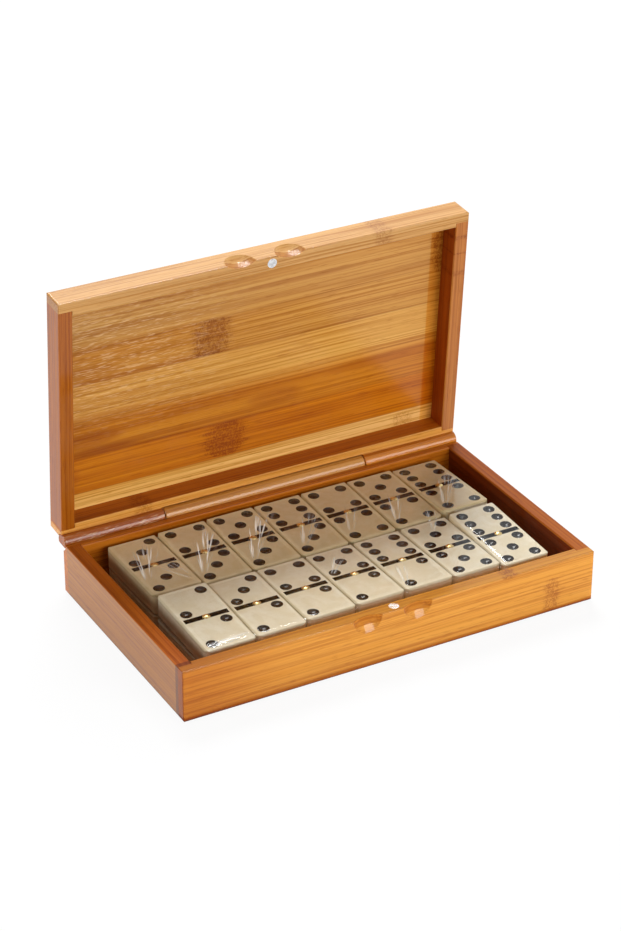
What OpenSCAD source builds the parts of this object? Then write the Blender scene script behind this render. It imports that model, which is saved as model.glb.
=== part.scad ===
// Bamboo storage box for a double-six domino set, shown open.
// Origin at the centre of the base's underside, +X along the length,
// +Y towards the hinge, +Z up. All sizes in millimetres.

/* [Box] */
// Room left beside the domino pack along the box, both ends together
end_room = 19.1; // [6:0.1:40]
// Room left beside the domino pack across the box, both sides together
side_room = 8.8; // [7.2:0.1:20]
// Height from the flat-lying dominoes' faces up to the base's rim
headroom = 2; // [1.2:0.05:10]
// Depth of the hollow inside the lid
lid_depth = 10; // [8:0.5:30]
// Thickness of the bamboo walls
wall_t = 6.5; // [5.8:0.1:9]
// Thickness of the bottom and lid panels
panel_t = 3; // [2.4:0.1:5]
// Depth to which the panels are let into the walls
panel_inset = 3.5; // [2:0.1:4]
// Depth to which the end walls are let into the long walls
lap_depth = 2.1; // [1:0.1:3]
// Rounding of the outer edges next to the panels
edge_r = 1.8; // [0.6:0.1:2.2]
// Rounding of the outer rim edges
rim_r = 0.4; // [0.2:0.05:0.8]
// Easing of the inner rim edges
rim_ease = 0.4; // [0.1:0.05:0.8]
// Rounding of the upright corners
corner_r = 0.8; // [0.4:0.1:1.6]
// Gap between the two rims when the box is shut
seam_gap = 0.2; // [0.1:0.05:0.4]

/* [Barrel hinge] */
// Angle of the open lid from shut
lid_open = 86.2; // [60:0.1:90]
// Diameter of the hinge barrel
barrel_d = 7.2; // [6:0.1:8]
// Distance from the rear face out to the hinge axis
barrel_out = 0.95; // [0.6:0.05:1.3]
// Distance from the hinge axis to the planed back of the barrel
barrel_back = 1.5; // [1.4:0.1:2.4]
// Length of the middle knuckle, with half of the gap at each end
middle_knuckle_l = 102; // [80:1:120]
// Gap between neighbouring knuckles
knuckle_gap = 0.4; // [0.2:0.05:0.8]
// Running clearance between a knuckle and the other half's cove
cove_clearance = 0.45; // [0.3:0.05:0.7]
// Chamfer round the knuckles' ends
knuckle_ease = 0.35; // [0.1:0.05:0.6]
// Diameter of the steel hinge pins
pin_d = 1.6; // [1.2:0.1:2]
// Length of each hinge pin
pin_l = 30; // [20:1:40]
// Radial clearance of a pin in the lid's knuckles
pin_clearance = 0.05; // [0.02:0.01:0.09]
// Room past the end of a pin in its blind hole
pin_end_room = 0.5; // [0.3:0.1:2]

/* [Front edge] */
// Width of a finger scoop on the front face
scoop_w = 14.4; // [10:0.1:18]
// Depth of a finger scoop into the front wall
scoop_depth = 2.2; // [1.5:0.1:4.5]
// Height from the widest line of the base's scoops up to the rim
base_scoop_drop = 0.1; // [0:0.1:2]
// Height from the widest line of the lid's scoops to its rim
lid_scoop_drop = 0.9; // [0:0.1:2]
// Distance between the two scoops of a wall
scoop_pitch = 24.2; // [20:0.1:30]
// Sideways offset of the base's hand-cut scoops
base_scoop_shift = -1.4; // [-2:0.1:1]
// Sideways offset of the lid's hand-cut scoops
lid_scoop_shift = -2.1; // [-3:0.1:1]
// Diameter of the catch magnets
magnet_d = 4.5; // [3:0.1:4.6]
// Length of the catch magnets
magnet_l = 4; // [2:0.5:8]
// Sideways offset of both magnets from the middle
magnet_shift = 0.7; // [-1:0.1:1]
// Depth of the magnets' faces below the rims
magnet_sink = 0.05; // [0.05:0.05:0.2]

/* [Dominoes] */
// Length of a domino
tile_l = 47.2; // [44:0.1:54]
// Width of a domino
tile_w = 23.9; // [21:0.1:27]
// Thickness of a domino
tile_t = 9.6; // [7:0.1:13]
// Gap between neighbouring columns of dominoes
tile_gap = 0.1; // [0.05:0.01:0.2]
// Gap between the rear and the front row of dominoes
row_gap = 0.8; // [0.7:0.05:2]
// Corner radius of a domino seen from above
tile_corner_r = 3; // [1:0.1:4]
// Rounding of a domino's upper and lower edges
tile_edge_r = 1.1; // [0.5:0.1:2]
// Diameter of the drilled pips
pip_d = 5.4; // [4:0.1:6]
// Depth of the drilled pips
pip_depth = 0.9; // [0.4:0.1:1.2]
// Distance from a domino's long edges in to the centres of its outer pips
pip_inset = 4.95; // [4:0.05:6]
// Distance from a domino's long edges in to the ends of its groove
groove_inset = 1.65; // [1.4:0.05:4]
// Width of the dividing groove
groove_w = 1.5; // [1:0.1:2]
// Depth of the dividing groove
groove_depth = 0.7; // [0.4:0.1:1.2]
// Diameter of the brass spinner pin's head
spinner_d = 3.6; // [2.6:0.1:4]
// Height of the spinner head's dome above the domino's face
spinner_rise = 0.6; // [0.3:0.05:1]
// Diameter of the spinner pin's shank
shank_d = 1.8; // [1:0.1:2]
// Length of the spinner pin's shank below the head
shank_l = 4; // [2:0.5:6]
// Clearance of a stacked domino from the spinner head or domino that it rests on
stack_gap = 0.05; // [0.02:0.01:0.1]
// Sideways shift of the pack from the middle of the tray
pack_x = 0.7; // [-1.5:0.1:1.5]
// Shift of the pack from the middle of the tray towards the hinge
pack_y = 2.05; // [0:0.05:2.2]
// Turn of the pack in the tray, in degrees
pack_turn = 0.35; // [0:0.05:0.5]

/* [Clear film] */
// Thickness of the clear film as modelled
film_t = 0.15; // [0.1:0.05:0.3]
// Play between the film and the dominoes
film_play = 0.15; // [0.1:0.05:0.3]
// Slack of the film in front of the foremost domino
film_slack = 0.1; // [0.05:0.05:2]
// Width of the film's edge folded in under the pack
film_fold = 8; // [4:0.5:20]

/* [Hidden] */
// pips on the rear half and the front half of each domino, from left to right
upper_rear = [[3, 3], [4, 3], [5, 3], [6, 3], [4, 4], [5, 4], [6, 4]];
upper_front = [[2, 2], [3, 2], [4, 2], [5, 2], [6, 2], [5, 5], [6, 5]];
lower_rear = [[0, 0], [1, 0], [2, 0], [3, 0], [4, 0], [5, 0], [6, 0]];
lower_front = [[1, 1], [2, 1], [3, 1], [4, 1], [5, 1], [6, 1], [6, 6]];
columns = 7;
flat_lie = [for (c = [1 : columns]) [0, 0]];
// how the upper dominoes rock on the spinner heads below them: degrees, rear end up,
// and shift towards the hinge in millimetres
rear_lie = [[-0.6, 0.5], [1.6, 0], [1.9, 0], [1.6, 0], [1.7, 0], [0.6, 0], [-2.6, -0.6]];
front_lie = [[2.8, 0], [0.4, -0.5], [-0.8, 0], [-1.4, 0], [-1.4, 0], [-0.5, 0], [2.8, -1.2]];
rows = [[lower_rear, 0, 1, flat_lie], [lower_front, 0, -1, flat_lie],
    [upper_rear, 1, 1, rear_lie], [upper_front, 1, -1, front_lie]];
// one entry per domino: pips, column, layer, row (1 rear, -1 front), and how it lies
dominoes = [for (r = rows) for (c = [0 : columns - 1]) [r[0][c], c, r[1], r[2], r[3][c]]];

tile_pitch_x = tile_w + tile_gap;
tile_pitch_y = tile_l + row_gap;
pack_l = columns * tile_pitch_x - tile_gap;
pack_w = 2 * tile_pitch_y - row_gap;
pack_floor = panel_t + film_t;
// an upper domino clears the spinner head under it, and its low end clears the domino below
function lift(tilt) = stack_gap + max(spinner_rise, tile_l / 2 * sin(abs(tilt)));
pack_h = tile_t + lift(0) + tile_t;
// the highest end of an upper domino above the flat ones' faces
ridge_h = max([for (d = concat(rear_lie, front_lie)) lift(d[0]) - lift(0) + tile_l / 2 * sin(abs(d[0]))]);
// how far a shifted and rocked domino reaches past its row's outer edge; side 1 rear, -1 front
function reach(lie, side) = max(0, side * lie[1] + tile_t * max(0, -side * sin(lie[0])));
rear_reach = max([for (d = rear_lie) reach(d, 1)]);
front_reach = film_slack + max([for (d = front_lie) reach(d, -1)]);
pip_step = tile_w / 2 - pip_inset;
stack_h = pack_floor + pack_h;
groove_l = tile_w - 2 * groove_inset;
film_room = film_play + max(spinner_rise, ridge_h);

box_l = pack_l + end_room + 2 * wall_t;
box_w = pack_w + side_room + 2 * wall_t;
base_h = stack_h + headroom;
lid_h = lid_depth + panel_t;
panel_ledge = wall_t - panel_inset;
lap_t = wall_t - lap_depth;

barrel_r = barrel_d / 2;
pin_r = pin_d / 2;
axis_y = box_w / 2 + barrel_out;
axis_z = base_h + seam_gap / 2;
shut_h = base_h + seam_gap + lid_h;
knuckle_half = middle_knuckle_l / 2;
knuckle_inner = knuckle_half - knuckle_gap / 2;
knuckle_outer = knuckle_half + knuckle_gap / 2;
// reach of a pin and its end room into a knuckle, from the split
pin_reach = pin_l / 2 + pin_end_room;
// ball cutter of the scoops, and its centre's distance in front of the face
scoop_r = (scoop_w * scoop_w / 4 + scoop_depth * scoop_depth) / (2 * scoop_depth);
scoop_out = scoop_r - scoop_depth;
far = 500;
fine = 96;
medium = 48;

function domino_name(p) = str("domino_", p[0], "_", p[1]);

bamboo = [0.80, 0.49, 0.20];
bamboo_dark = [0.62, 0.36, 0.15];
steel = [0.78, 0.79, 0.80];
brass = [0.80, 0.66, 0.32];
ivory = [0.86, 0.81, 0.68];

// ---- trays: both halves are built open side up, then the lid is turned over

// Outline of a tray seen along one side: rounded below, eased at the rim
module tray_outline(w, h) {
    difference() {
        translate([-w / 2, 0]) square([w, h]);
        for (s = [-1, 1]) {
            outline_corner(s, w / 2, 0, edge_r, 1);
            outline_corner(s, w / 2, h, rim_r, -1);
        }
    }
}

// The sliver that a rounded corner of radius r takes off
module outline_corner(side, x, z, r, up) {
    translate([side * (x - r), z + up * r]) difference() {
        translate([side > 0 ? 0 : -2 * r, up > 0 ? -2 * r : 0]) square(2 * r);
        circle(r, $fn = medium);
    }
}

// Plan of the box with its upright corners rounded
module plan_outline(l, w, r) {
    translate([-l / 2 + r, -w / 2]) square([l - 2 * r, w]);
    translate([-l / 2, -w / 2 + r]) square([l, w - 2 * r]);
    for (x = [-1, 1], y = [-1, 1])
        translate([x * (l / 2 - r), y * (w / 2 - r)]) circle(r, $fn = medium);
}

// Everything that lies within a tray's outer surfaces
module tray_envelope(h) {
    intersection() {
        linear_extrude(h) plan_outline(box_l, box_w, corner_r);
        rotate([90, 0, 90]) linear_extrude(box_l, center = true) tray_outline(box_w, h);
        rotate([90, 0, 0]) linear_extrude(box_w, center = true) tray_outline(box_l, h);
    }
}

// Section of a wall from its outer face inwards, with the eased inner rim
module wall_section(h) {
    polygon([[0, 0], [wall_t, 0], [wall_t, h - rim_ease], [wall_t - rim_ease, h], [0, h]]);
}

// A long wall along the front; the end walls are let into its ends
module long_wall(h) {
    difference() {
        intersection() {
            tray_envelope(h);
            translate([0, -box_w / 2, 0]) rotate([90, 0, 90])
                linear_extrude(box_l, center = true) wall_section(h);
        }
        for (s = [-1, 1])
            translate([s * box_l / 2 - wall_t, -box_w / 2 + lap_t, -1])
                cube([2 * wall_t, wall_t, h + 2]);
        tray_panel();
    }
}

// Front wall with its finger scoops and the catch magnet's hole
module front_wall(h, scoop_shift, scoop_drop) {
    difference() {
        long_wall(h);
        for (s = [-1, 1])
            translate([scoop_shift + s * scoop_pitch / 2, -box_w / 2 - scoop_out, h - scoop_drop])
                sphere(scoop_r, $fn = fine);
        translate([magnet_shift, -box_w / 2 + wall_t / 2, h - magnet_sink - magnet_l])
            cylinder(d = magnet_d, h = magnet_l + 1, $fn = medium);
    }
}

// Rear wall with coves: snug round its own knuckles, clear of the other half's
module rear_wall(h, middle_is_own) {
    clear_r = barrel_r + cove_clearance;
    difference() {
        mirror([0, 1, 0]) long_wall(h);
        along_axis(h, -box_l, box_l) circle(barrel_r, $fn = fine);
        if (middle_is_own)
            for (s = [-1, 1])
                along_axis(h, s > 0 ? knuckle_half : -box_l, s > 0 ? box_l : -knuckle_half)
                    circle(clear_r, $fn = fine);
        else
            along_axis(h, -knuckle_half, knuckle_half) circle(clear_r, $fn = fine);
    }
}

// Sweeps a section along the hinge axis of a tray of height h, from x0 to x1
module along_axis(h, x0, x1) {
    translate([x0, axis_y, h + seam_gap / 2]) rotate([90, 0, 90]) linear_extrude(x1 - x0) children();
}

// End wall at the left; the long walls' laps close its ends
module end_wall(h) {
    difference() {
        intersection() {
            tray_envelope(h);
            translate([-box_l / 2, 0, 0]) rotate([90, 0, 0])
                linear_extrude(box_w - 2 * lap_t, center = true) wall_section(h);
        }
        tray_panel();
    }
}

// Panel let into the rabbet round the walls
module tray_panel() {
    translate([-box_l / 2 + panel_ledge, -box_w / 2 + panel_ledge, 0])
        cube([box_l - 2 * panel_ledge, box_w - 2 * panel_ledge, panel_t]);
}

// Catch magnet pressed into the front wall
module magnet(h) {
    translate([magnet_shift, -box_w / 2 + wall_t / 2, h - magnet_sink - magnet_l])
        cylinder(d = magnet_d, h = magnet_l, $fn = medium);
}

// ---- hinge barrel

// One knuckle from x0 to x1, its back planed flat and its ends chamfered
module knuckle(h, x0, x1, bores) {
    intersection() {
        difference() {
            translate([x0, axis_y, h + seam_gap / 2]) rotate([90, 0, 90]) union() {
                cylinder(r1 = barrel_r - knuckle_ease, r2 = barrel_r, h = knuckle_ease, $fn = fine);
                translate([0, 0, knuckle_ease])
                    cylinder(r = barrel_r, h = x1 - x0 - 2 * knuckle_ease, $fn = fine);
                translate([0, 0, x1 - x0 - knuckle_ease])
                    cylinder(r1 = barrel_r, r2 = barrel_r - knuckle_ease, h = knuckle_ease, $fn = fine);
            }
            for (b = bores)
                along_axis(h, b[0], b[1]) circle(b[2], $fn = medium);
        }
        translate([-far / 2, axis_y + barrel_back - far, -far / 2]) cube(far);
    }
}

module hinge_pin(side) {
    along_axis(base_h, side * knuckle_half - pin_l / 2, side * knuckle_half + pin_l / 2)
        circle(pin_r, $fn = medium);
}

// ---- lid placing

// Turns a tray over on to the base, then swings it open about the hinge axis
module as_lid() {
    translate([0, axis_y, axis_z]) rotate([-lid_open, 0, 0]) translate([0, -axis_y, -axis_z])
        translate([0, 0, shut_h]) mirror([0, 0, 1]) children();
}

// ---- dominoes

// Rounded slab of a domino, centred in plan, its lower face at z = 0
module tile_blank() {
    intersection() {
        linear_extrude(tile_t) plan_outline(tile_w, tile_l, tile_corner_r);
        rotate([90, 0, 0]) linear_extrude(tile_l, center = true) slab_section(tile_w);
        rotate([90, 0, 90]) linear_extrude(tile_w, center = true) slab_section(tile_l);
    }
}

module slab_section(w) {
    translate([0, tile_t / 2]) plan_outline(w, tile_t, tile_edge_r);
}

// Places of the pips on half a domino, in steps from its middle
function pip_places(n) = concat(
    n % 2 == 1 ? [[0, 0]] : [],
    n > 1 ? [[1, 1], [-1, -1]] : [],
    n > 3 ? [[-1, 1], [1, -1]] : [],
    n == 6 ? [[-1, 0], [1, 0]] : []);

// Ball-cutter dimples for the pips of one half
module pip_dimples(n) {
    ball_r = (pip_d * pip_d / 4 + pip_depth * pip_depth) / (2 * pip_depth);
    for (p = pip_places(n))
        translate([p[0] * pip_step, p[1] * pip_step, tile_t - pip_depth + ball_r])
            sphere(ball_r, $fn = medium);
}

module tile_groove() {
    translate([-groove_l / 2, -groove_w / 2, tile_t - groove_depth])
        cube([groove_l, groove_w, groove_depth + 1]);
}

// One domino; pips is [rear half, front half]
module tile(pips) {
    difference() {
        tile_blank();
        translate([0, tile_l / 4, 0]) pip_dimples(pips[0]);
        translate([0, -tile_l / 4, 0]) pip_dimples(pips[1]);
        tile_groove();
        spinner_solid();
    }
}

// Outside of a spinner pin: a low domed head over a shank
module spinner_solid() {
    dome_r = (spinner_d * spinner_d / 4 + spinner_rise * spinner_rise) / (2 * spinner_rise);
    head_base = tile_t - groove_depth;
    translate([0, 0, head_base - shank_l]) cylinder(d = shank_d, h = shank_l, $fn = medium);
    intersection() {
        translate([0, 0, head_base]) cylinder(d = spinner_d, h = groove_depth + spinner_rise, $fn = medium);
        translate([0, 0, tile_t + spinner_rise - dome_r]) sphere(dome_r, $fn = fine);
    }
}

// Moves a piece from the middle of the tray's floor to the pack's place
module at_pack() {
    translate([pack_x, pack_y, panel_t]) rotate(pack_turn) children();
}

// Moves a piece to a domino's place in the pack
module at_domino(d) {
    rise = d[2] == 0 ? 0 : tile_t + lift(d[4][0]);
    at_pack()
        translate([(d[1] - (columns - 1) / 2) * tile_pitch_x, d[3] * tile_pitch_y / 2 + d[4][1], film_t + rise])
            rotate([d[4][0], 0, 0]) children();
}

// ---- film

// Plan of the film, grown by e beyond the dominoes, its corners rounded by r
module film_plan(e, r) {
    translate([0, (rear_reach - front_reach) / 2])
        plan_outline(pack_l + 2 * e, pack_w + rear_reach + front_reach + 2 * e, r);
}

// ---- nodes

module base_front_wall() { color(bamboo) front_wall(base_h, base_scoop_shift, base_scoop_drop); }
module base_rear_wall() { color(bamboo) rear_wall(base_h, true); }
module base_left_wall() { color(bamboo_dark) end_wall(base_h); }
module base_right_wall() { color(bamboo_dark) mirror([1, 0, 0]) end_wall(base_h); }
module base_panel() { color(bamboo) tray_panel(); }
module base_knuckle() {
    color(bamboo_dark) knuckle(base_h, -knuckle_inner, knuckle_inner,
        [[-knuckle_half - 1, -knuckle_half + pin_reach, pin_r], [knuckle_half - pin_reach, knuckle_half + 1, pin_r]]);
}
module hinge_pin_left() { color(steel) hinge_pin(-1); }
module hinge_pin_right() { color(steel) hinge_pin(1); }
module base_magnet() { color(steel) magnet(base_h); }

module lid_front_wall() { color(bamboo) as_lid() front_wall(lid_h, lid_scoop_shift, lid_scoop_drop); }
module lid_rear_wall() { color(bamboo) as_lid() rear_wall(lid_h, false); }
module lid_left_wall() { color(bamboo_dark) as_lid() end_wall(lid_h); }
module lid_right_wall() { color(bamboo_dark) as_lid() mirror([1, 0, 0]) end_wall(lid_h); }
module lid_panel() { color(bamboo) as_lid() tray_panel(); }
module lid_knuckle_left() {
    color(bamboo_dark) as_lid() knuckle(lid_h, -box_l / 2, -knuckle_outer,
        [[-knuckle_half - pin_reach, -knuckle_half + 1, pin_r + pin_clearance]]);
}
module lid_knuckle_right() {
    color(bamboo_dark) as_lid() knuckle(lid_h, knuckle_outer, box_l / 2,
        [[knuckle_half - 1, knuckle_half + pin_reach, pin_r + pin_clearance]]);
}
module lid_magnet() { color(steel) as_lid() magnet(lid_h); }

module domino(d) { color(ivory) at_domino(d) tile(d[0]); }
module spinner_pins() { color(brass) for (d = dominoes) at_domino(d) spinner_solid(); }

// Clear film round the whole pack, open in the middle of its underside
module film_wrap() {
    color([0.92, 0.95, 0.97, 0.25]) at_pack() difference() {
        linear_extrude(pack_h + 2 * film_t + film_room)
            film_plan(film_play + film_t, tile_corner_r + film_play + film_t);
        translate([0, 0, film_t]) linear_extrude(pack_h + film_room)
            film_plan(film_play, tile_corner_r + film_play);
        translate([0, 0, -1]) linear_extrude(film_t + 2) film_plan(-film_fold, tile_corner_r);
    }
}

base_front_wall();
base_rear_wall();
base_left_wall();
base_right_wall();
base_panel();
base_knuckle();
hinge_pin_left();
hinge_pin_right();
base_magnet();
lid_front_wall();
lid_rear_wall();
lid_left_wall();
lid_right_wall();
lid_panel();
lid_knuckle_left();
lid_knuckle_right();
lid_magnet();
for (d = dominoes) domino(d);
spinner_pins();
film_wrap();
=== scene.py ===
import math
import bpy
from mathutils import Matrix, Vector


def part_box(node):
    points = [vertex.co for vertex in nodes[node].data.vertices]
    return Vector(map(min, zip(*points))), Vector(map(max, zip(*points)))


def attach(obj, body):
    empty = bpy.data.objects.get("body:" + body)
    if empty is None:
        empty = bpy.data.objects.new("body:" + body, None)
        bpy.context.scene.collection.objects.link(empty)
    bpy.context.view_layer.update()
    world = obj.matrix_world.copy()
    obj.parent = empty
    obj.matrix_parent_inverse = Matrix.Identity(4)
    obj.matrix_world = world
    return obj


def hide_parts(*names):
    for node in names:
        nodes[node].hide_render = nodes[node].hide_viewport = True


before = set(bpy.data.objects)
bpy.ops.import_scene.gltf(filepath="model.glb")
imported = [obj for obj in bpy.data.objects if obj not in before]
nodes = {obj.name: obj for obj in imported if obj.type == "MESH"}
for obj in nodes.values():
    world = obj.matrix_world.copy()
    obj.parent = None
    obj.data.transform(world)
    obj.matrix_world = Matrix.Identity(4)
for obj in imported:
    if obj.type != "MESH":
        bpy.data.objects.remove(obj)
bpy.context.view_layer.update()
mm = 0.001
print("frame loaded,", len(nodes), "nodes")


# a screen colour of 0 to 255 as a linear one
def tone(r, g, b):
    parts = [c / 255 for c in (r, g, b)]
    return tuple(c / 12.92 if c <= 0.04045 else ((c + 0.055) / 1.055) ** 2.4 for c in parts) + (1,)


# a socket given as a value is linked, anything else is set
def fill(tree, socket, value):
    if isinstance(value, bpy.types.NodeSocket):
        tree.links.new(value, socket)
    else:
        socket.default_value = value


# a node with its settings, and its sockets given by name or as i0, i1 and so on
def put(tree, kind, settings=None, **sockets):
    node = tree.nodes.new(kind)
    for key, value in (settings or {}).items():
        setattr(node, key, value)
    for key, value in sockets.items():
        slot = int(key[1:]) if key[1:].isdigit() else key.replace("_", " ")
        fill(tree, node.inputs[slot], value)
    return node


def sums(tree, operation, *values):
    node = put(tree, "ShaderNodeMath", {"operation": operation})
    for slot, value in enumerate(values):
        fill(tree, node.inputs[slot], value)
    return node.outputs[0]


def product(tree, first, *others):
    for other in others:
        first = sums(tree, "MULTIPLY", first, other)
    return first


# how far a value is from a middle, on either side
def away(tree, value, middle=None):
    if middle is not None:
        value = sums(tree, "SUBTRACT", value, middle)
    return sums(tree, "ABSOLUTE", value)


def mixed(tree, kind, share, a, b):
    node = put(tree, "ShaderNodeMix", {"data_type": "RGBA", "blend_type": kind}, i0=share, i6=a, i7=b)
    return node.outputs[2]


def tinted(tree, share, ground, tint):
    return mixed(tree, "MULTIPLY", share, ground, tint + (1,))


def faded(tree, value, low, high, a=0.0, b=1.0):
    settings = {"interpolation_type": "SMOOTHSTEP"}
    return put(tree, "ShaderNodeMapRange", settings, i0=value, i1=low, i2=high, i3=a, i4=b).outputs[0]


def noise(tree, place, scale, detail, distortion=0.0, w=None):
    settings = {"noise_dimensions": "3D" if w is None else "4D"}
    node = put(tree, "ShaderNodeTexNoise", settings, Vector=place, Scale=scale, Detail=detail, Distortion=distortion)
    if w is not None:
        fill(tree, node.inputs["W"], w)
    return node


def stretched(tree, place, scale):
    return put(tree, "ShaderNodeVectorMath", {"operation": "MULTIPLY"}, i0=place, i1=scale).outputs[0]


# a place moved by a noise's colour
def nudged(tree, place, noiseNode, reach):
    settings = {"operation": "MULTIPLY_ADD"}
    return put(tree, "ShaderNodeVectorMath", settings, i0=noiseNode.outputs["Color"], i1=reach, i2=place).outputs[0]


def objectPlace(tree):
    return put(tree, "ShaderNodeTexCoord").outputs["Object"]


def newGroup(name, inputs, outputs):
    tree = bpy.data.node_groups.new(name, "ShaderNodeTree")
    for label, kind, value in inputs:
        socket = tree.interface.new_socket(label, in_out="INPUT", socket_type="NodeSocket" + kind)
        if value is not None:
            socket.default_value = value
    for label, kind in outputs:
        tree.interface.new_socket(label, in_out="OUTPUT", socket_type="NodeSocket" + kind)
    return tree, tree.nodes.new("NodeGroupInput"), tree.nodes.new("NodeGroupOutput")


def placeGroup(tree, group, **sockets):
    return put(tree, "ShaderNodeGroup", {"node_tree": group}, **sockets)


def newMaterial(name):
    material = bpy.data.materials.new(name)
    material.use_nodes = True
    return material, material.node_tree, material.node_tree.nodes["Principled BSDF"]


def dress(node, material):
    mesh = nodes[node].data
    if not mesh.materials:
        mesh.materials.append(material)
    for slot in nodes[node].material_slots:
        slot.material = material


# bamboo fibres along X: how dense along and across per metre, detail, where they begin and are full
fibreLayers = {
    "Lines": (9, 1250, 2, 0.42, 0.66),
    "Streaks": (5, 330, 4, 0.34, 0.66),
    "Flecks": (150, 1500, 1, 0.58, 0.74),
    "Glints": (230, 2100, 1, 0.5, 0.72),
}
fibreWave = {"scale": 9.0, "detail": 1.0, "reach": (0, 0.0022, 0.0022), "seedStep": 3.7}


def makeFibreGroup():
    tree, start, end = newGroup(
        "bambooFibre", [("Place", "Vector", None), ("Seed", "Float", 0.0)],
        [(label, "Float") for label in fibreLayers])
    place, seed = start.outputs[0], start.outputs[1]
    wave = noise(tree, place, fibreWave["scale"], fibreWave["detail"], w=seed)
    place = nudged(tree, place, wave, fibreWave["reach"])
    for slot, (along, across, detail, low, high) in enumerate(fibreLayers.values()):
        lines = noise(tree, stretched(tree, place, (along, across, across)), 1.0, float(detail),
                      w=sums(tree, "ADD", seed, fibreWave["seedStep"] * slot))
        fill(tree, end.inputs[slot], faded(tree, lines.outputs[0], low, high))
    return tree


# a culm node: a dark burst of short squiggles across the fibres, ragged at its edge
culmLook = {
    "squiggles": (900, 620, 620), "squiggleDetail": 2.0, "twist": 1.2, "speckle": (0.44, 0.56, 0.3, 1.0),
    "fringe": (60, 900, 900), "fringeDetail": 1.0, "ragged": 1.1, "fadeOut": (0.45, 1.15, 1.0, 0.0),
    "powers": (2.0, 4.0), "stripEdge": (0.97, 1.0, 1.0, 0.0),
}


def makeCulmGroup():
    tree, start, end = newGroup(
        "culmNode",
        [("Place", "Vector", None), ("Along", "Float", 0.0), ("Across", "Float", 0.0),
         ("Half Width", "Float", 0.006), ("Half Height", "Float", 0.009), ("Strip", "Float", 0.009)],
        [("Mask", "Float")])
    place, along, across, halfWidth, halfHeight, strip = [start.outputs[i] for i in range(6)]
    split = put(tree, "ShaderNodeSeparateXYZ", i0=place)
    squiggles = noise(tree, stretched(tree, place, culmLook["squiggles"]), 1.0, culmLook["squiggleDetail"],
                      culmLook["twist"])
    fringe = noise(tree, stretched(tree, place, culmLook["fringe"]), 1.0, culmLook["fringeDetail"])
    alongShare = sums(tree, "DIVIDE", sums(tree, "SUBTRACT", split.outputs[0], along), halfWidth)
    acrossShare = sums(tree, "DIVIDE", sums(tree, "SUBTRACT", split.outputs[1], across), halfHeight)
    raised = [sums(tree, "POWER", away(tree, share), power)
              for share, power in zip((alongShare, acrossShare), culmLook["powers"])]
    distance = sums(tree, "SQRT", sums(tree, "ADD", raised[0], raised[1]))
    uneven = sums(tree, "SUBTRACT", fringe.outputs[0], 0.5)
    body = faded(tree, sums(tree, "MULTIPLY_ADD", uneven, culmLook["ragged"], distance), *culmLook["fadeOut"])
    speckle = faded(tree, squiggles.outputs[0], *culmLook["speckle"])
    stripShare = sums(tree, "DIVIDE", away(tree, split.outputs[1], across), strip)
    inStrip = faded(tree, stripShare, *culmLook["stripEdge"])
    fill(tree, end.inputs[0], product(tree, body, speckle, inStrip))
    return tree


fibreGroup = makeFibreGroup()
culmGroup = makeCulmGroup()

# the open lid stands turned about this line; its patterns are laid out as if it were shut
lidSeat = {"axis": (0, 59.45 * mm, 25.1 * mm), "turn": -86.2}

# what a bamboo piece has unless its own entry says otherwise; the coat is its weight and roughness
plainBamboo = {"contrast": 0.85, "streak": (0.5, 0.5), "coat": (0.6, 0.08), "glint": 0.32,
               "culms": [], "stainsAndShade": [], "smudges": []}
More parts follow.
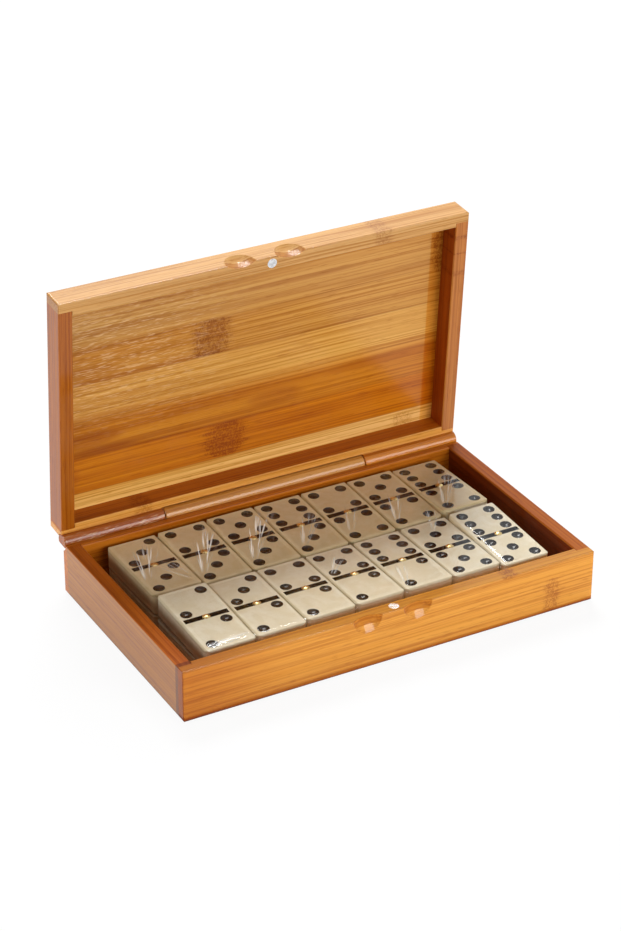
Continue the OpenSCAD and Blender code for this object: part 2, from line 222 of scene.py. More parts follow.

# all in millimetres, in the box with its lid shut
# strips: where a strip ends across the panel, tone at the left, tone at the right, how softly it ends
# streak: how strong the streaks are at the left and at the right
# culms: place along and across, half width, half height, half of the strip, depth, and for some
#   the heights between which they come in
# stains and painted shade, which is named at each piece: axis, where it starts, where it is full, tint, loss of
# shine, and for some the axis and the reach that keep it to one side of a wall
# smudges: place along and across, half length, half width, depth
# glints: painted highlights, pale flecks mixed into the colour: place along and across, and how far they reach
# scoops: the face they are cut into, the rim, which way the wood lies from it, tint
bambooLooks = {
    "lid_panel": {
        "frame": "lid", "along": "panel", "seed": 1.3, "streak": (0.85, 0.5),
        "glints": (-75, -80, 85, 48), "coat": (0.55, 0.17),
        "strips": [(-105.95, (196, 148, 78), (195, 141, 66), 2.5), (-87.85, (190, 142, 74), (196, 142, 67), 3.5),
                   (-69.75, (188, 128, 49), (199, 143, 64), 0.15), (-51.65, (206, 152, 76), (220, 167, 83), 4.5),
                   (-33.55, (194, 123, 28), (198, 123, 26), 0.8), (-15.45, (203, 123, 14), (204, 121, 14), 0.15),
                   (0, (239, 192, 109), (244, 198, 125), 0.15)],
        "culms": [(-22.5, -78.8, 10, 14, 8.9, 0.85), (-15.5, -24.5, 11.5, 10, 8.9, 0.95),
                  (78, -10, 6, 5, 5.4, 0.35), (93.5, -99, 6, 15, 30, 0.9, 12, 11)],
        # painted shade on the panel beside the right wall, with less shine
        "stainsAndShade": [("x", 87.0, 87.6, (0.90, 0.72, 0.42), 0.7, "z", 12, 11)],
        "smudges": [(-86, -75, 22, 4, 0.5), (-60, -70.6, 50, 1.2, 0.9), (-82, -42, 18, 5, 0.8),
                    (-75, -35.5, 22, 2.5, 0.9), (10, -40, 16, 5, 0.5), (-80, -53, 30, 2, 0.4),
                    (20, -70.4, 60, 0.8, 0.7), (-20, -33.2, 70, 0.9, 0.7), (20, -27, 30, 4, 0.35),
                    (-95, -24, 9, 8, 0.5), (15, -98, 40, 1.5, 0.6), (-20, -92, 60, 1.2, 0.45),
                    (60, -46, 26, 3, 0.35)],
    },
    "lid_front_wall": {
        "frame": "lid", "along": "x", "seed": 4.1, "tones": ((194, 142, 76), (210, 166, 106)),
        "culms": [(56, 6, 5, 20, 20, 0.35)],
        "stainsAndShade": [("x", -99.6, -99.95, (0.7, 0.6, 0.5), 0)],
        "scoops": (-117.9, 0.13, 1, (0.74, 0.6, 0.44)),
    },
    "lid_rear_wall": {
        "frame": "lid", "along": "x", "seed": 7.7, "tones": ((214, 143, 60), (234, 174, 88)),
        "culms": [(-60, 5, 5, 20, 20, 0.4)],
        # painted shade on the inner face
        "stainsAndShade": [("z", 0.4, 0.8, (0.62, 0.36, 0.10), 0.9, "y", -4, -5)],
    },
    "lid_left_wall": {
        "frame": "lid", "along": "y", "seed": 2.9, "tones": ((156, 84, 14), (175, 100, 21)),
        # painted shade on the inner face
        "stainsAndShade": [("z", 0.4, 0.8, (0.8, 0.7, 0.5), 0.5, "x", -96, -95)],
    },
    "lid_right_wall": {
        "frame": "lid", "along": "y", "seed": 9.2, "tones": ((175, 104, 38), (193, 125, 53)),
        "culms": [(-106, 5, 1.2, 20, 20, 0.5), (-98, 4, 0.5, 20, 20, 0.6), (-88, 5, 1.6, 20, 20, 0.35)],
        # painted shade on the inner face
        "stainsAndShade": [("z", 0.4, 0.8, (0.76, 0.42, 0.18), 0.8, "x", 96, 95)],
    },
    "base_front_wall": {
        "frame": "base", "along": "x", "seed": 5.5, "tones": ((211, 139, 38), (229, 162, 59)),
        "contrast": 0.75, "streak": (0.4, 0.3),
        "culms": [(78.5, 9, 4.5, 9, 20, 0.5), (57, 25, 4, 1.6, 20, 0.6)],
        # darker towards the left end; painted shade along the bottom edge, in two steps; the top rim darker and
        # warmer; the end face darker
        "stainsAndShade": [("x", -40, -97, (0.76, 0.58, 0.34), 0.3), ("z", 3.2, 2.0, (0.60, 0.42, 0.26), 0.8),
                   ("z", 2.0, 0.8, (0.5, 0.36, 0.25), 0.8), ("z", 24.6, 24.95, (0.72, 0.70, 0.46), 0.3),
                   ("x", -99.6, -99.95, (0.6, 0.45, 0.4), 0)],
        "scoops": (-58.46, 24.98, -1, (0.74, 0.6, 0.42)),
    },
    "base_rear_wall": {"frame": "base", "along": "x", "seed": 6.4, "tones": ((180, 100, 20), (206, 124, 30))},
    "base_left_wall": {
        "frame": "base", "along": "y", "seed": 8.3, "tones": ((164, 103, 36), (181, 120, 48)),
        "streak": (0.4, 0.4),
        # the top rim darker and warmer; a dark joint near the front end; painted shade along the bottom edge
        "stainsAndShade": [("z", 24.6, 24.95, (1.0, 0.62, 0.2), 0.75), ("y", -51.5, -51.9, (0.5, 0.4, 0.35), 0),
                   ("z", 2.6, 1.0, (0.5, 0.42, 0.38), 0.6)],
    },
    "base_right_wall": {
        "frame": "base", "along": "y", "seed": 3.8, "tones": ((158, 88, 30), (178, 109, 43)),
        "streak": (0.4, 0.4),
        # the top rim darker and warmer; painted shade on the inner face below the rim
        "stainsAndShade": [("z", 24.6, 24.95, (0.88, 0.72, 0.2), 0.92),
                   ("z", 24.8, 23.8, (0.5, 0.28, 0.17), 0.6, "x", 96, 95)],
    },
    "base_panel": {
        "frame": "base", "along": "panel", "seed": 11.6,
        "strips": [(-46.5, (176, 118, 52), (180, 122, 54), 0.2), (-28.4, (160, 94, 26), (170, 100, 28), 2),
                   (-10.3, (186, 126, 56), (190, 130, 58), 0.2), (7.8, (170, 100, 30), (176, 104, 30), 2),
                   (25.9, (182, 120, 50), (184, 122, 52), 0.2), (44, (158, 90, 22), (164, 94, 24), 1),
                   (60, (180, 120, 52), (184, 124, 54), 0.2)],
        "culms": [(32, -19.3, 9, 14, 8.9, 0.6), (-48, 16.8, 9, 10, 8.9, 0.6)],
    },
    "base_knuckle": {
        "frame": "base", "along": "x", "seed": 12.1, "tones": ((190, 128, 53), (215, 158, 80)),
        "streak": (0.6, 0.6),
    },
    "lid_knuckle_left": {
        # painted shade: this knuckle is toned darker than the other two
        "frame": "lid", "along": "x", "seed": 13.4, "tones": ((153, 76, 13), (184, 103, 28)),
        "streak": (0.6, 0.6), "glints": (-75, -6, 60, 6), "glint": 0.6,
    },
    "lid_knuckle_right": {
        "frame": "lid", "along": "x", "seed": 14.2, "tones": ((190, 110, 22), (216, 139, 38)),
        "streak": (0.6, 0.6),
    },
}
# shared by all bamboo, lengths in millimetres: glueFirst is the first glue line's place below zero
# across the panel, glueHalf is half the lines' spacing, and glueFade is how they fade out
finishLook = {
    "sides": (-90, 70), "fibreTint": (0.68, 0.52, 0.22), "streakTint": (0.76, 0.60, 0.34), "fleck": 0.5,
    "culmTint": (0.60, 0.44, 0.26), "culmFull": 0.6, "smudgeTint": (0.70, 0.52, 0.32), "smudgeRagged": 0.5,
    "glue": (120, 66, 20), "glueDepth": 0.25, "glueFirst": 105.95, "glueHalf": 9.05, "glueFade": (0.1, 0.4),
    "glintTone": (244, 210, 160), "glintCore": 0.2, "specular": 0.08, "roughness": (0.42, 0.3),
    "bump": 0.25, "bumpDepth": 0.12,
}
scoopLook = {"depthFade": 0.25, "rimFade": 0.05, "halfReach": 30, "deepest": 6, "tallest": 4,
             "grit": 1500.0, "gritDetail": 2.0, "gritLoss": (0.2, 0.6, 1.0, 0.1)}


# strip tones across the panel, with two stops at each edge between strips
def stripRamp(tree, across, strips, side):
    low = strips[0][0] - 30
    high = strips[-1][0] + 1
    ramp = tree.nodes.new("ShaderNodeValToRGB")
    stops = ramp.color_ramp.elements
    stops[0].position, stops[0].color = 0, tone(*strips[0][side])
    stops[1].position, stops[1].color = 1, tone(*strips[-1][side])
    for before, after in zip(strips[:-1], strips[1:]):
        for strip, way in ((before, -1), (after, 1)):
            stop = stops.new((before[0] + way * before[3] - low) / (high - low))
            stop.color = tone(*strip[side])
    share = put(tree, "ShaderNodeMapRange", i0=across, i1=low * mm, i2=high * mm)
    tree.links.new(share.outputs[0], ramp.inputs[0])
    return ramp.outputs[0]


def woodGround(tree, look, across, sideShare, streaks):
    if "strips" not in look:
        return mixed(tree, "MIX", streaks, tone(*look["tones"][0]), tone(*look["tones"][1]))
    ramps = [stripRamp(tree, across, look["strips"], side) for side in (1, 2)]
    ground = mixed(tree, "MIX", sideShare, *ramps)
    fromFirst = sums(tree, "ADD", across, finishLook["glueFirst"] * mm)
    glue = sums(tree, "PINGPONG", fromFirst, finishLook["glueHalf"] * mm)
    begin, full = finishLook["glueFade"]
    share = faded(tree, glue, begin * mm, full * mm, finishLook["glueDepth"], 0.0)
    return mixed(tree, "MIX", share, ground, tone(*finishLook["glue"]))


# where the scoops are cut: past the face and off the rim, near the middle of the wall
def scoopMask(tree, axes, face, rim, way):
    cut = product(tree, faded(tree, axes["y"], face * mm, (face + scoopLook["depthFade"]) * mm),
                  faded(tree, axes["z"], rim * mm, (rim + scoopLook["rimFade"] * way) * mm))
    cut = product(tree, cut, sums(tree, "LESS_THAN", away(tree, axes["x"]), scoopLook["halfReach"] * mm))
    cut = product(tree, cut, sums(tree, "LESS_THAN", axes["y"], (face + scoopLook["deepest"]) * mm))
    return product(tree, cut, sums(tree, "COMPARE", axes["z"], rim * mm, scoopLook["tallest"] * mm))


def bambooMaterial(name, look):
    look = {**plainBamboo, **look}
    material, tree, shader = newMaterial("bamboo_" + name)
    place = objectPlace(tree)
    if look["frame"] == "lid":
        place = put(tree, "ShaderNodeMapping", {"vector_type": "TEXTURE"}, Vector=place,
                    Location=lidSeat["axis"], Rotation=(math.radians(lidSeat["turn"]), 0, 0)).outputs[0]
    seat = place
    # walls and knuckles are turned so that X runs along them and Y up
    if look["along"] != "panel":
        turn = math.pi / 2 if look["along"] == "y" else 0
        place = put(tree, "ShaderNodeMapping", {"vector_type": "TEXTURE"}, Vector=place,
                    Rotation=(math.pi / 2, 0, turn)).outputs[0]
    lines, streaks, flecks, glints = placeGroup(tree, fibreGroup, Place=place, Seed=look["seed"]).outputs
    split = put(tree, "ShaderNodeSeparateXYZ", i0=place)
    sideShare = faded(tree, split.outputs[0], *[side * mm for side in finishLook["sides"]])
    ground = woodGround(tree, look, split.outputs[1], sideShare, streaks)
    streakShare = product(tree, streaks, faded(tree, sideShare, 0, 1, *look["streak"]))
    ground = tinted(tree, streakShare, ground, finishLook["streakTint"])
    ground = tinted(tree, product(tree, lines, look["contrast"]), ground, finishLook["fibreTint"])
    ground = tinted(tree, product(tree, flecks, finishLook["fleck"]), ground, finishLook["fibreTint"])

    axes = dict(zip("xyz", put(tree, "ShaderNodeSeparateXYZ", i0=seat).outputs))
    for along, across, halfWidth, halfHeight, strip, depth, *heights in look["culms"]:
        culm = placeGroup(tree, culmGroup, Place=place, Along=along * mm, Across=across * mm,
                          Half_Width=halfWidth * mm, Half_Height=halfHeight * mm, Strip=strip * mm)
        share = product(tree, culm.outputs[0], depth / finishLook["culmFull"])
        if heights:
            share = product(tree, share, faded(tree, axes["z"], heights[0] * mm, heights[1] * mm))
        ground = tinted(tree, share, ground, finishLook["culmTint"])
    for along, across, halfAlong, halfAcross, depth in look["smudges"]:
        shares = []
        for slot, (middle, half) in enumerate(((along, halfAlong), (across, halfAcross))):
            offset = sums(tree, "SUBTRACT", split.outputs[slot], middle * mm)
            shares.append(sums(tree, "POWER", sums(tree, "DIVIDE", offset, half * mm), 2.0))
        uneven = sums(tree, "SUBTRACT", lines, 0.5)
        reach = sums(tree, "MULTIPLY_ADD", uneven, finishLook["smudgeRagged"], sums(tree, "ADD", *shares))
        ground = tinted(tree, faded(tree, reach, 0.1, 1.0, depth, 0.0), ground, finishLook["smudgeTint"])

    lacquer, lacquerRoughness = look["coat"]
    shine = lacquer
    # stains, and painted shade on inner faces, beside a wall and along bottom edges, darken the colour and take shine
    # away
    for axis, begin, full, tint, loss, *side in look["stainsAndShade"]:
        share = faded(tree, axes[axis], begin * mm, full * mm)
        if side:
            share = product(tree, share, faded(tree, axes[side[0]], side[1] * mm, side[2] * mm))
        ground = tinted(tree, share, ground, tint)
        shine = product(tree, shine, sums(tree, "MULTIPLY_ADD", share, -loss, 1.0))
    if "scoops" in look:
        face, rim, way, tint = look["scoops"]
        cut = scoopMask(tree, axes, face, rim, way)
        ground = tinted(tree, cut, ground, tint)
        grit = noise(tree, seat, scoopLook["grit"], scoopLook["gritDetail"])
        rough = product(tree, cut, grit.outputs[0])
        shine = product(tree, shine, faded(tree, rough, *scoopLook["gritLoss"]))
    # painted highlight: pale glints along the fibres are mixed into the colour
    if "glints" in look:
        places, reaches = [[part * mm for part in look["glints"][i:i + 2]] for i in (0, 2)]
        shares = [faded(tree, away(tree, split.outputs[slot], places[slot]), finishLook["glintCore"] * reaches[slot],
                        reaches[slot], 1.0, 0.0) for slot in (0, 1)]
        glint = product(tree, product(tree, glints, product(tree, *shares)), look["glint"])
        ground = mixed(tree, "MIX", glint, ground, tone(*finishLook["glintTone"]))

    fill(tree, shader.inputs["Base Color"], ground)
    fill(tree, shader.inputs["Roughness"], faded(tree, lines, 0.0, 1.0, *finishLook["roughness"]))
    fill(tree, shader.inputs["Specular IOR Level"], finishLook["specular"])
    fill(tree, shader.inputs["Coat Weight"], shine)
    fill(tree, shader.inputs["Coat Roughness"], lacquerRoughness)
    bump = put(tree, "ShaderNodeBump", Strength=finishLook["bump"], Distance=finishLook["bumpDepth"] * mm,
               Height=lines)
    fill(tree, shader.inputs["Normal"], bump.outputs[0])
    return material


for name, look in bambooLooks.items():
    dress(name, bambooMaterial(name, look))
print("bamboo dressed,", len(bambooLooks), "nodes")

# dominoes: where each lies in the pack, in millimetres and degrees, as in the part
packSeat = {"shift": (0.7, 2.05, 3.0), "turn": 0.35, "pitchX": 24.0, "halfPitchY": 24.0, "filmThickness": 0.15,
            "tileThickness": 9.6, "tileLength": 47.2, "spinnerRise": 0.6, "stackGap": 0.05}
# layer, row (1 is the rear one), the dominoes from the left, and the tilt and step of each
dominoRows = [
    (0, 1, ["0_0", "1_0", "2_0", "3_0", "4_0", "5_0", "6_0"], [(0, 0)] * 7),
    (0, -1, ["1_1", "2_1", "3_1", "4_1", "5_1", "6_1", "6_6"], [(0, 0)] * 7),
    (1, 1, ["3_3", "4_3", "5_3", "6_3", "4_4", "5_4", "6_4"],
     [(-0.6, 0.5), (1.6, 0), (1.9, 0), (1.6, 0), (1.7, 0), (0.6, 0), (-2.6, -0.6)]),
    (1, -1, ["2_2", "3_2", "4_2", "5_2", "6_2", "5_5", "6_5"],
     [(2.8, 0), (0.4, -0.5), (-0.8, 0), (-1.4, 0), (-1.4, 0), (-0.5, 0), (2.8, -1.2)]),
]
# places on a domino, in millimetres from the middle of its underside
dominoLook = {
    "inside": (10.6, 22.3), "sunk": (5.0, 9.56), "band": (10.3, 1.45), "bandLow": 8.5,
    "borderX": (10.9, 11.3), "borderY": (22.5, 22.9), "borderLow": 8.2, "borderShade": (0.8, 0.77, 0.7),
    "deep": (230, 219, 190), "pale": (238, 230, 208), "vein": (222, 208, 174), "paint": (13, 10, 8),
    "swirls": (0.10, 3.0, 1.6), "swirlFade": (0.3, 0.7), "veins": (0.28, 4.0, 2.5), "veinSeed": 9.0,
    "veinFade": (0.52, 0.66, 0.0, 0.3), "roughness": (0.2, 0.12), "specular": 0.22,
    "bump": 0.05, "bumpDepth": 0.2,
}
# painted shade: a tint over each row's ivory; the rear row, which the open lid shades, is painted darker and warmer
dominoRowShade = {1: (0.81, 0.73, 0.58, 1), -1: (0.90, 0.885, 0.865, 1)}


def dominoMatrix(layer, row, column, tilt, shift):
    rise = 0
    if layer:
        cornerRise = packSeat["tileLength"] / 2 * math.sin(math.radians(abs(tilt)))
        lift = packSeat["stackGap"] + max(packSeat["spinnerRise"], cornerRise)
        rise = packSeat["tileThickness"] + lift
    spot = Vector(((column - 3) * packSeat["pitchX"], row * packSeat["halfPitchY"] + shift,
                   packSeat["filmThickness"] + rise)) * mm
    turn = Matrix.Rotation(math.radians(packSeat["turn"]), 4, "Z")
    pack = Matrix.Translation(Vector(packSeat["shift"]) * mm) @ turn
    return pack @ Matrix.Translation(spot) @ Matrix.Rotation(math.radians(tilt), 4, "X")


# paint fills whatever is cut below the face, and a band over the groove a little wider than it
def makeDominoGroup():
    tree, start, end = newGroup(
        "dominoFace", [("Place", "Vector", None), ("Seed", "Float", 0.0), ("Tint", "Color", (1, 1, 1, 1))],
        [("Color", "Color"), ("Roughness", "Float"), ("Grain", "Float")])
    place, seed, tint = [start.outputs[i] for i in range(3)]
    x, y, z = put(tree, "ShaderNodeSeparateXYZ", i0=place).outputs

    def within(value, limit):
        return sums(tree, "LESS_THAN", away(tree, value), limit)

    def above(limit):
        return sums(tree, "GREATER_THAN", z, limit)

    inside = product(tree, within(x, dominoLook["inside"][0]), within(y, dominoLook["inside"][1]))
    sunk = product(tree, sums(tree, "LESS_THAN", z, dominoLook["sunk"][1]), above(dominoLook["sunk"][0]))
    bandX = product(tree, within(x, dominoLook["band"][0]), above(dominoLook["bandLow"]))
    band = product(tree, within(y, dominoLook["band"][1]), bandX)
    paint = product(tree, inside, sums(tree, "MAXIMUM", sunk, band))
    swirl = noise(tree, place, *dominoLook["swirls"], w=seed)
    veins = noise(tree, place, *dominoLook["veins"], w=sums(tree, "ADD", seed, dominoLook["veinSeed"]))
    body = mixed(tree, "MIX", faded(tree, swirl.outputs[0], *dominoLook["swirlFade"]),
                 tone(*dominoLook["deep"]), tone(*dominoLook["pale"]))
    body = mixed(tree, "MIX", faded(tree, veins.outputs[0], *dominoLook["veinFade"]), body, tone(*dominoLook["vein"]))
    # the row's tint, which for the rear row is painted shade
    body = mixed(tree, "MULTIPLY", 1.0, body, tint)
    # painted shade: the rounded border of the face is darkened, against the light it catches
    border = sums(tree, "MAXIMUM", faded(tree, away(tree, x), *dominoLook["borderX"]),
                  faded(tree, away(tree, y), *dominoLook["borderY"]))
    body = tinted(tree, product(tree, border, above(dominoLook["borderLow"])), body, dominoLook["borderShade"])
    fill(tree, end.inputs[0], mixed(tree, "MIX", paint, body, tone(*dominoLook["paint"])))
    fill(tree, end.inputs[1], faded(tree, paint, 0, 1, *dominoLook["roughness"]))
    fill(tree, end.inputs[2], veins.outputs[0])
    return tree


def dominoMaterial(pips, seed, matrix, tint):
    material, tree, shader = newMaterial("ivory_plastic_" + pips)
    place = put(tree, "ShaderNodeMapping", {"vector_type": "TEXTURE"}, Vector=objectPlace(tree),
                Location=matrix.to_translation(), Rotation=matrix.to_euler(), Scale=(mm, mm, mm)).outputs[0]
    face = placeGroup(tree, dominoGroup, Place=place, Seed=float(seed), Tint=tint)
    fill(tree, shader.inputs["Base Color"], face.outputs[0])
    fill(tree, shader.inputs["Roughness"], face.outputs[1])
    fill(tree, shader.inputs["Specular IOR Level"], dominoLook["specular"])
    bump = put(tree, "ShaderNodeBump", Strength=dominoLook["bump"], Distance=dominoLook["bumpDepth"] * mm,
               Height=face.outputs[2])
    fill(tree, shader.inputs["Normal"], bump.outputs[0])
    return material


dominoGroup = makeDominoGroup()
dressed = 0
for layer, row, names, lies in dominoRows:
    for column, (pips, (tilt, shift)) in enumerate(zip(names, lies)):
        matrix = dominoMatrix(layer, row, column, tilt, shift)
        dress("domino_" + pips, dominoMaterial(pips, dressed, matrix, dominoRowShade[row]))
        dressed += 1
print("dominoes dressed,", dressed)

metalLooks = {
    "spinner_pins": {"color": (206, 184, 130), "worn": (140, 110, 66), "roughness": 0.22, "scale": 900},
    "base_magnet": {"color": (226, 228, 230), "worn": (176, 178, 180), "roughness": 0.16, "scale": 700},
    "lid_magnet": {"color": (226, 228, 230), "worn": (176, 178, 180), "roughness": 0.16, "scale": 700},
    "hinge_pin_left": {"color": (198, 200, 203), "worn": (150, 152, 156), "roughness": 0.25, "scale": 800},
    "hinge_pin_right": {"color": (198, 200, 203), "worn": (150, 152, 156), "roughness": 0.25, "scale": 800},
}
wearLook = {"detail": 4.0, "fade": (0.45, 0.7), "roughFade": (0.3, 0.7), "rougher": 0.15}
for name, look in metalLooks.items():
    material, tree, shader = newMaterial("metal_" + name)
    wear = noise(tree, objectPlace(tree), float(look["scale"]), wearLook["detail"]).outputs[0]
    color = mixed(tree, "MIX", faded(tree, wear, *wearLook["fade"]), tone(*look["color"]), tone(*look["worn"]))
    fill(tree, shader.inputs["Base Color"], color)
    rough = faded(tree, wear, *wearLook["roughFade"], look["roughness"], look["roughness"] + wearLook["rougher"])
    fill(tree, shader.inputs["Roughness"], rough)
    shader.inputs["Metallic"].default_value = 1
    dress(name, material)
print("metal dressed")

# clear film: a rounded block is laid in each domino's place, and a skin is shrunk over them all
# lengths in millimetres; fold is how far the skin turns in under the pack
filmLook = {
    "joinVoxel": 0.6, "voxel": 0.8, "reach": 4.0, "lie": 0.16, "smoothing": 12, "fold": 9, "halfPack": (84, 48),
    "underside": 6, "topFrom": 20, "ridge": 0.22, "ridgeStep": 1.3,
    "fresnel": 1.36, "ripple": (70.0, 3.0, 0.8), "rippleStretch": (1, 1, 0.5), "crinkleFade": (0.58, 0.8),
    "crinkle": 0.06, "clearest": 0.26, "wander": (160.0, 2.0), "wanderReach": 0.4, "creaseFrom": 18,
    "creaseAlpha": 0.6, "creaseHeight": 0.6, "dull": (0.02, 0.3, 1.0, 0.0), "gleam": 0.3, "gleamBlue": 0.95,
    "color": (0.95, 0.95, 0.95, 1), "roughness": 0.06, "rougher": 0.1, "bump": 0.4, "bumpDepth": 0.6,
}
blockLook = {"size": (23.9, 47.2, 9.6), "corner": 3, "cornerSteps": 4, "edge": 1.0, "edgeSteps": 2}
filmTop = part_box("film_wrap")[1].z

# fans of creases: where they gather, mean angle and spread in degrees, from, to, depth
filmFans = [
    (-83.3, 6.0, 68, 14, 8, 44, 0.8), (-59.3, 2.0, 63, 12, 6, 50, 1.0), (-59.3, 2.0, 112, 14, 5, 28, 0.8),
    (-35.3, 2.0, 60, 12, 6, 54, 1.0), (-11.3, 2.0, 56, 12, 8, 40, 0.8), (12.7, 2.0, 60, 10, 8, 36, 0.6),
    (36.7, 2.0, 63, 11, 6, 34, 0.8), (60.7, 2.0, 58, 11, 6, 42, 0.8), (-11.3, -22.0, 50, 12, 4, 24, 0.7),
    (-50.0, -40.5, 184, 7, 2, 34, 1.3), (14.0, -45.0, 68, 12, 3, 24, 0.7), (48.0, -10.0, 62, 12, 2, 26, 0.7),
]


def finishWith(piece, kind, **settings):
    modifier = piece.modifiers.new(kind.lower(), kind)
    for key, value in settings.items():
        setattr(modifier, key, value)
    bpy.context.view_layer.objects.active = piece
    bpy.ops.object.modifier_apply(modifier=modifier.name)


# a mesh's own selection is emptied, and new picks can be made in object mode
def clearPicks():
    bpy.ops.object.mode_set(mode="EDIT")
    bpy.ops.mesh.select_all(action="DESELECT")
    bpy.ops.object.mode_set(mode="OBJECT")


def makeBlock():
    bpy.ops.object.select_all(action="DESELECT")
    bpy.ops.mesh.primitive_cube_add(size=1, location=(0, 0, 0))
    block = bpy.context.active_object
    size = Matrix.Diagonal([side * mm for side in blockLook["size"]] + [1])
    block.data.transform(Matrix.Translation((0, 0, blockLook["size"][2] / 2 * mm)) @ size)
    clearPicks()
    for edge in block.data.edges:
        ends = [block.data.vertices[i].co for i in edge.vertices]
        edge.select = abs(ends[0].z - ends[1].z) > 1 * mm
    bpy.ops.object.mode_set(mode="EDIT")
    bpy.ops.mesh.bevel(offset=blockLook["corner"] * mm, segments=blockLook["cornerSteps"])
    bpy.ops.object.mode_set(mode="OBJECT")
    finishWith(block, "BEVEL", width=blockLook["edge"] * mm, segments=blockLook["edgeSteps"],
               limit_method="ANGLE", angle_limit=math.radians(60))
    return block


# how high the creases stand at a place on the top, as a share
def fanLift(x, y):
    lift = 0
    for centreX, centreY, angle, spread, begin, finish, depth in filmFans:
        dx, dy = x - centreX, y - centreY
        radius = math.hypot(dx, dy)
        aside = (math.degrees(math.atan2(dy, dx)) - angle + 180) % 360 - 180
        if begin < radius < finish and abs(aside) < spread:
            share = math.sin(math.pi * (radius - begin) / (finish - begin))
            ridge = 0.5 + 0.5 * math.cos(aside * filmLook["ridgeStep"])
            lift = max(lift, depth * share * ridge * (1 - abs(aside) / spread))
    return lift


def makeFilm():
    block = makeBlock()
    pieces = []
    for layer, row, names, lies in dominoRows:
        for column, (tilt, shift) in enumerate(lies):
            piece = block.copy()
            piece.data = block.data.copy()
            piece.data.transform(dominoMatrix(layer, row, column, tilt, shift))
            bpy.context.scene.collection.objects.link(piece)
            pieces.append(piece)
    bpy.data.objects.remove(block)
    bpy.ops.object.select_all(action="DESELECT")
    for piece in pieces:
        piece.select_set(True)
    film = pieces[0]
    bpy.context.view_layer.objects.active = film
    bpy.ops.object.join()
    film.name = "shrink_film"
    film.data.name = "shrink_film"
    # the gaps are closed by going out, over and back in
    finishWith(film, "REMESH", mode="VOXEL", voxel_size=filmLook["joinVoxel"] * mm)
    finishWith(film, "DISPLACE", strength=filmLook["reach"] * mm, mid_level=0)
    finishWith(film, "REMESH", mode="VOXEL", voxel_size=filmLook["voxel"] * mm)
    finishWith(film, "DISPLACE", strength=(filmLook["lie"] - filmLook["reach"]) * mm, mid_level=0)
    finishWith(film, "SMOOTH", factor=0.5, iterations=filmLook["smoothing"])
    # the middle of the underside is open
    clearPicks()
    halfX, halfY = [(half - filmLook["fold"]) * mm for half in filmLook["halfPack"]]
    middleX, middleY = [part * mm for part in packSeat["shift"][:2]]
    for face in film.data.polygons:
        spot = face.center
        face.select = (abs(spot.x - middleX) < halfX and abs(spot.y - middleY) < halfY
                       and spot.z < filmLook["underside"] * mm)
    bpy.ops.object.mode_set(mode="EDIT")
    bpy.ops.mesh.delete(type="FACE")
    bpy.ops.object.mode_set(mode="OBJECT")
    # the fans stand up as low ridges on the top
    for vertex in film.data.vertices:
        spot = vertex.co
        if spot.z >= filmLook["topFrom"] * mm:
            lift = fanLift(spot.x / mm, spot.y / mm)
            spot.z = min(spot.z + lift * filmLook["ridge"] * mm, filmTop)
    bpy.ops.object.shade_smooth()
    film.data.materials.clear()
    return film


# one fan: fine lines spreading from a point, within an angle
fanLook = {"acrossLines": 34.0, "alongLines": 35.0, "detail": 1.0, "lines": (0.50, 0.66),
           "sides": (0.4, 1.0, 1.0, 0.0), "comesIn": (0.0, 0.2), "goesOut": (0.55, 1.0, 1.0, 0.0)}


def makeFanGroup():
    tree, start, end = newGroup(
        "filmFan",
        [("Place", "Vector", None), ("Centre", "Vector", None), ("Turn", "Float", 0.0), ("Spread", "Float", 0.2),
         ("From", "Float", 0.005), ("To", "Float", 0.04), ("Depth", "Float", 0.5)],
        [("Mask", "Float")])
    place, centre, turn, spread, begin, finish, depth = [start.outputs[i] for i in range(7)]
    moved = put(tree, "ShaderNodeVectorMath", {"operation": "SUBTRACT"}, i0=place, i1=centre)
    turned = put(tree, "ShaderNodeVectorRotate", {"rotation_type": "Z_AXIS"}, i0=moved.outputs[0],
                 Angle=product(tree, turn, -1.0)).outputs[0]
    split = put(tree, "ShaderNodeSeparateXYZ", i0=turned)
    angle = sums(tree, "ARCTAN2", split.outputs[1], split.outputs[0])
    flat = stretched(tree, turned, (1, 1, 0))
    radius = put(tree, "ShaderNodeVectorMath", {"operation": "LENGTH"}, i0=flat).outputs["Value"]
    spot = put(tree, "ShaderNodeCombineXYZ", i0=product(tree, angle, fanLook["acrossLines"]),
               i1=product(tree, radius, fanLook["alongLines"]), i2=turn)
    lines = faded(tree, noise(tree, spot.outputs[0], 1.0, fanLook["detail"]).outputs[0], *fanLook["lines"])
    inside = faded(tree, sums(tree, "DIVIDE", away(tree, angle), spread), *fanLook["sides"])
    share = sums(tree, "DIVIDE", sums(tree, "SUBTRACT", radius, begin), sums(tree, "SUBTRACT", finish, begin))
    length = product(tree, faded(tree, share, *fanLook["comesIn"]), faded(tree, share, *fanLook["goesOut"]))
    fill(tree, end.inputs[0], product(tree, product(tree, lines, inside), product(tree, length, depth)))
    return tree


# all fans together, wandering a little, on the top only
def creaseMask(tree, place):
    wander = noise(tree, place, *filmLook["wander"])
    reach = filmLook["wanderReach"] * mm
    bent = nudged(tree, place, wander, (reach, reach, 0))
    fanGroup = makeFanGroup()
    crease = 0.0
    for x, y, angle, spread, begin, finish, depth in filmFans:
        mask = placeGroup(tree, fanGroup, Place=bent, Centre=(x * mm + reach / 2, y * mm + reach / 2, 0),
                          Turn=math.radians(angle), Spread=math.radians(spread),
                          From=begin * mm, To=finish * mm, Depth=depth)
        crease = sums(tree, "MAXIMUM", crease, mask.outputs[0])
    height = put(tree, "ShaderNodeSeparateXYZ", i0=place).outputs[2]
    return product(tree, crease, sums(tree, "GREATER_THAN", height, filmLook["creaseFrom"] * mm))


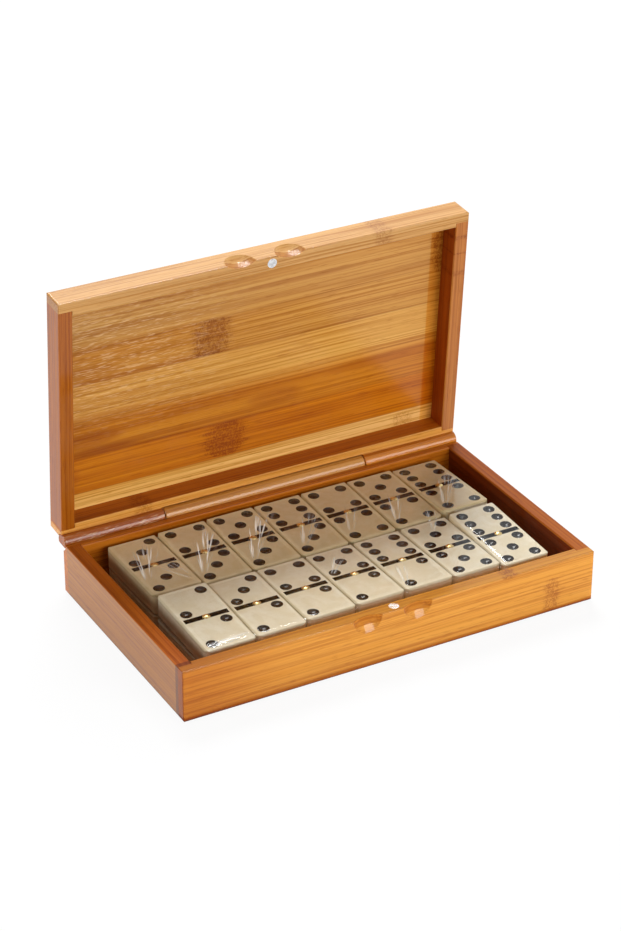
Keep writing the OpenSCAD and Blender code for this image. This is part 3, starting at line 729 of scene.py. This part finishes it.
def filmMaterial():
    material, tree, shader = newMaterial("clear_film")
    place = objectPlace(tree)
    facing = put(tree, "ShaderNodeFresnel", IOR=filmLook["fresnel"]).outputs[0]
    ripple = noise(tree, stretched(tree, place, filmLook["rippleStretch"]), *filmLook["ripple"]).outputs[0]
    crinkle = faded(tree, ripple, *filmLook["crinkleFade"])
    crease = creaseMask(tree, place)
    sheen = sums(tree, "MULTIPLY_ADD", crinkle, filmLook["crinkle"], facing)
    alpha = sums(tree, "MINIMUM", sheen, filmLook["clearest"])
    fill(tree, shader.inputs["Alpha"], sums(tree, "MULTIPLY_ADD", crease, filmLook["creaseAlpha"], alpha))
    shader.inputs["Base Color"].default_value = filmLook["color"]
    fill(tree, shader.inputs["Metallic"], faded(tree, crease, *filmLook["dull"]))
    # painted highlight: the creases glow a little, as if they caught the light
    glow = product(tree, crease, filmLook["gleam"])
    gleam = put(tree, "ShaderNodeCombineColor", i0=glow, i1=glow, i2=product(tree, glow, filmLook["gleamBlue"]))
    fill(tree, shader.inputs["Emission Color"], gleam.outputs[0])
    shader.inputs["Emission Strength"].default_value = 1.0
    rough = faded(tree, ripple, 0.3, 0.8, filmLook["roughness"], filmLook["roughness"] + filmLook["rougher"])
    fill(tree, shader.inputs["Roughness"], rough)
    height = sums(tree, "MULTIPLY_ADD", crease, filmLook["creaseHeight"], ripple)
    bump = put(tree, "ShaderNodeBump", Strength=filmLook["bump"], Distance=filmLook["bumpDepth"] * mm,
               Height=height)
    fill(tree, shader.inputs["Normal"], bump.outputs[0])
    return material


film = makeFilm()
film.data.materials.append(filmMaterial())
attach(film, "domino_pack")
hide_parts("film_wrap")
print("film shrunk,", len(film.data.polygons), "faces")


# whether a surface is seen by the camera, straight or in a shiny or clear one
def seenRays(tree):
    rays = put(tree, "ShaderNodeLightPath")
    indirect = sums(tree, "MAXIMUM", rays.outputs["Is Glossy Ray"], rays.outputs["Is Transmission Ray"])
    return sums(tree, "MAXIMUM", rays.outputs["Is Camera Ray"], indirect)


# floor, world, lamps and camera
floorLook = {"size": 8, "color": (240, 240, 240), "roughness": 0.9, "whiteShare": 0.93}
bpy.ops.object.select_all(action="DESELECT")
bpy.ops.mesh.primitive_plane_add(size=floorLook["size"], location=(0, 0, 0))
floor = bpy.context.active_object
floor.name = "floor"
material, tree, shader = newMaterial("floor_white")
shader.inputs["Base Color"].default_value = tone(*floorLook["color"])
shader.inputs["Roughness"].default_value = floorLook["roughness"]
shader.inputs["Specular IOR Level"].default_value = 0
shown = product(tree, seenRays(tree), floorLook["whiteShare"])
glow = put(tree, "ShaderNodeEmission", Color=(1, 1, 1, 1), Strength=1.0)
blendNode = put(tree, "ShaderNodeMixShader", i0=shown, i1=shader.outputs[0], i2=glow.outputs[0])
tree.links.new(blendNode.outputs[0], tree.nodes["Material Output"].inputs[0])
floor.data.materials.append(material)

# the world is white where it is seen, and lights the scene more weakly
worldLook = {"ambient": 0.22}
world = bpy.data.worlds.new("studio")
bpy.context.scene.world = world
world.use_nodes = True
tree = world.node_tree
backdrop = tree.nodes["Background"]
fill(tree, backdrop.inputs["Strength"], faded(tree, seenRays(tree), 0, 1, worldLook["ambient"], 1.0))
backdrop.inputs["Color"].default_value = (1, 1, 1, 1)

lamps = {
    "lamp_top": {"at": (0.25, 0.78, 1.1), "to": (0, -0.02, 0.02), "size": 0.6, "power": 24},
    "lamp_front": {"at": (0.45, -1.5, 0.35), "to": (0, 0, 0.05), "size": 1.0, "power": 22},
    "lamp_left": {"at": (-1.3, 0.25, 0.35), "to": (-0.1, 0, 0.04), "size": 0.8, "power": 10},
}
for name, lamp in lamps.items():
    data = bpy.data.lights.new(name, "AREA")
    data.shape = "SQUARE"
    data.size = lamp["size"]
    data.energy = lamp["power"]
    light = bpy.data.objects.new(name, data)
    bpy.context.scene.collection.objects.link(light)
    light.location = lamp["at"]
    light.rotation_euler = (Vector(lamp["to"]) - Vector(lamp["at"])).to_track_quat("-Z", "Y").to_euler()

cameraSeat = {"at": (-0.50481, -0.89471, 0.63578), "turn": (60.97016398, -0.20557332, -28.88210638),
              "lens": 106.08, "sensor": 36}
cameraData = bpy.data.cameras.new("camera")
cameraData.lens = cameraSeat["lens"]
cameraData.sensor_width = cameraSeat["sensor"]
camera = bpy.data.objects.new("camera", cameraData)
bpy.context.scene.collection.objects.link(camera)
camera.location = cameraSeat["at"]
camera.rotation_euler = [math.radians(angle) for angle in cameraSeat["turn"]]
bpy.context.scene.camera = camera
bpy.context.scene.view_settings.view_transform = "Standard"
print("studio set")
